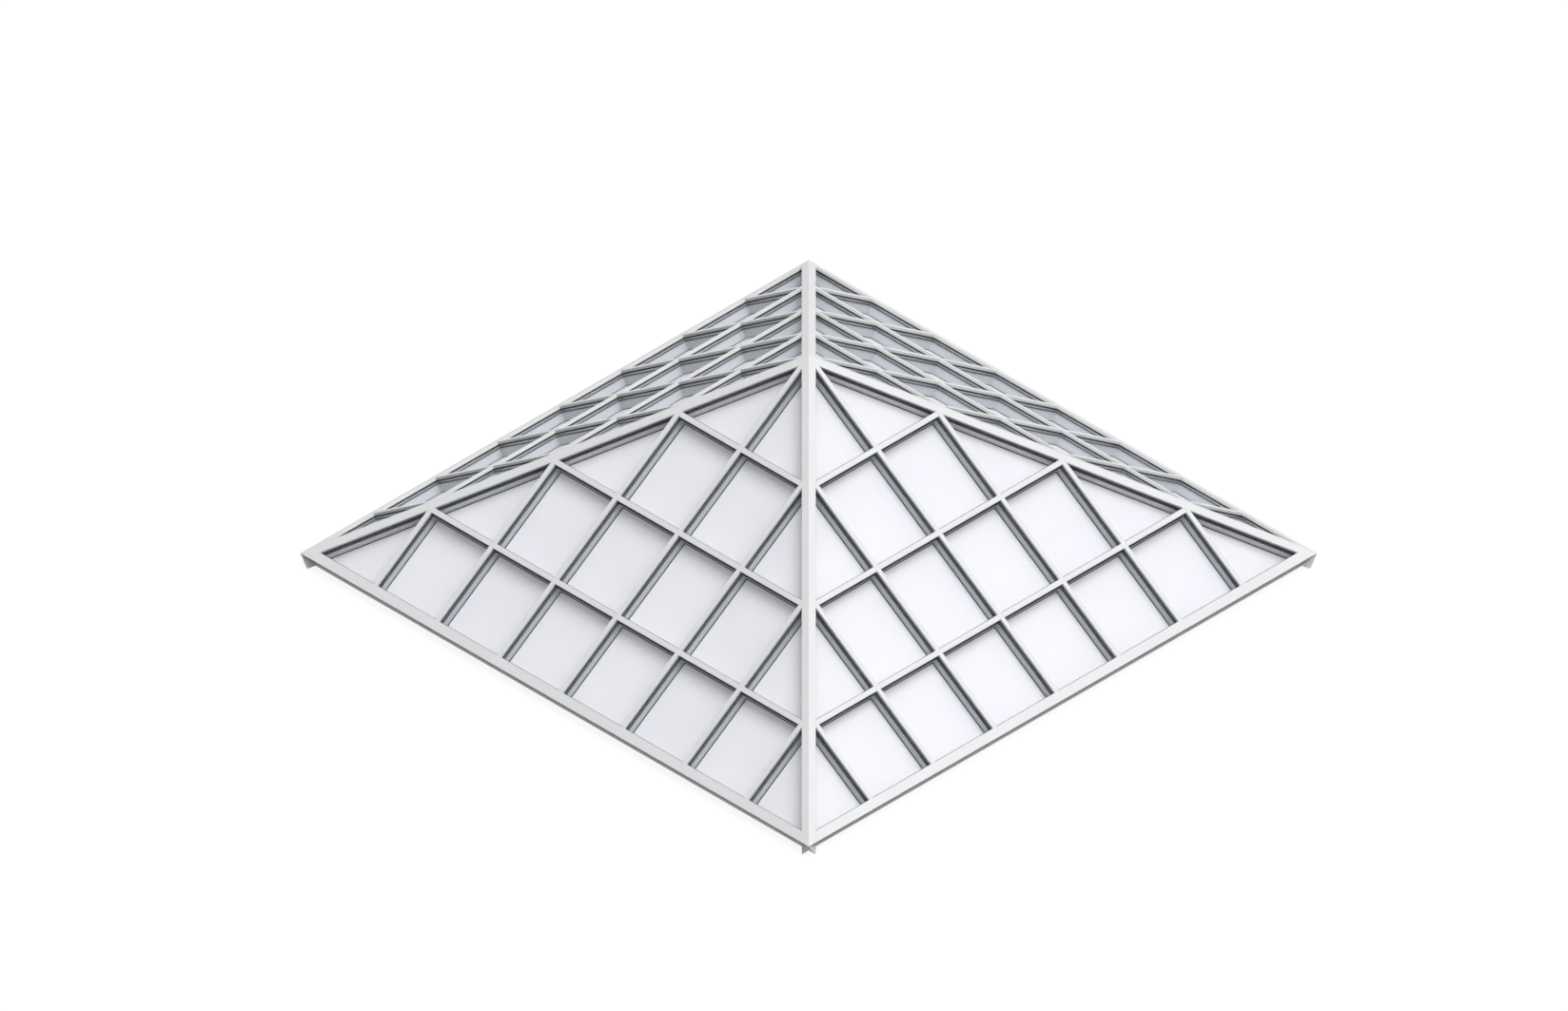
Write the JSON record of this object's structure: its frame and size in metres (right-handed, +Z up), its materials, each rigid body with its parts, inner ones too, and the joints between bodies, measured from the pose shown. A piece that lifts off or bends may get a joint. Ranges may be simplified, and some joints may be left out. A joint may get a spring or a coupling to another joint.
{
  "type": "pyramid skylight",
  "caption": "Square pyramid skylight with white metal rafters, level purlins and hips, clear sealed glass outside and a pale diffusing pane inside each bay.",
  "frame": {"origin": "centre of the square base, on the level that the sills stand on", "axes": "+Z up to the apex; +X and +Y square to the right and back slopes; the front slope faces -Y"},
  "size_m": [7.4014, 7.4014, 2.6453],
  "materials": {
    "frame_white": "white powder coat on extruded aluminium, satin",
    "cap_white": "white powder coat on clipped aluminium caps, satin",
    "plate_aluminium": "mill finish, hidden under the caps",
    "unit_glass": "sealed double unit with a slight grey tint, smooth",
    "opal_acrylic": "opal acrylic sheet, smooth and diffusing"
  },
  "bodies": {
    "root": {"apex_hub": "frame_white", "corner_shoe_back_left": "frame_white", "corner_shoe_back_right": "frame_white", "corner_shoe_front_left": "frame_white", "corner_shoe_front_right": "frame_white", "glass_back": "unit_glass", "glass_front": "unit_glass", "glass_left": "unit_glass", "glass_right": "unit_glass", "hip_cap_back_left": "cap_white", "hip_cap_back_right": "cap_white", "hip_cap_front_left": "cap_white", "hip_cap_front_right": "cap_white", "hip_rafter_back_left": "frame_white", "hip_rafter_back_right": "frame_white", "hip_rafter_front_left": "frame_white", "hip_rafter_front_right": "frame_white", "inner_panes_back": "opal_acrylic", "inner_panes_front": "opal_acrylic", "inner_panes_left": "opal_acrylic", "inner_panes_right": "opal_acrylic", "level_caps_back": "cap_white", "level_caps_front": "cap_white", "level_caps_left": "cap_white", "level_caps_right": "cap_white", "pressure_plates_back": "plate_aluminium", "pressure_plates_front": "plate_aluminium", "pressure_plates_left": "plate_aluminium", "pressure_plates_right": "plate_aluminium", "purlins_back": "frame_white", "purlins_front": "frame_white", "purlins_left": "frame_white", "purlins_right": "frame_white", "rafter_caps_back": "cap_white", "rafter_caps_front": "cap_white", "rafter_caps_left": "cap_white", "rafter_caps_right": "cap_white", "rafters_back": "frame_white", "rafters_front": "frame_white", "rafters_left": "frame_white", "rafters_right": "frame_white", "sill_back": "frame_white", "sill_front": "frame_white", "sill_left": "frame_white", "sill_right": "frame_white"}
  },
  "joints": []
}
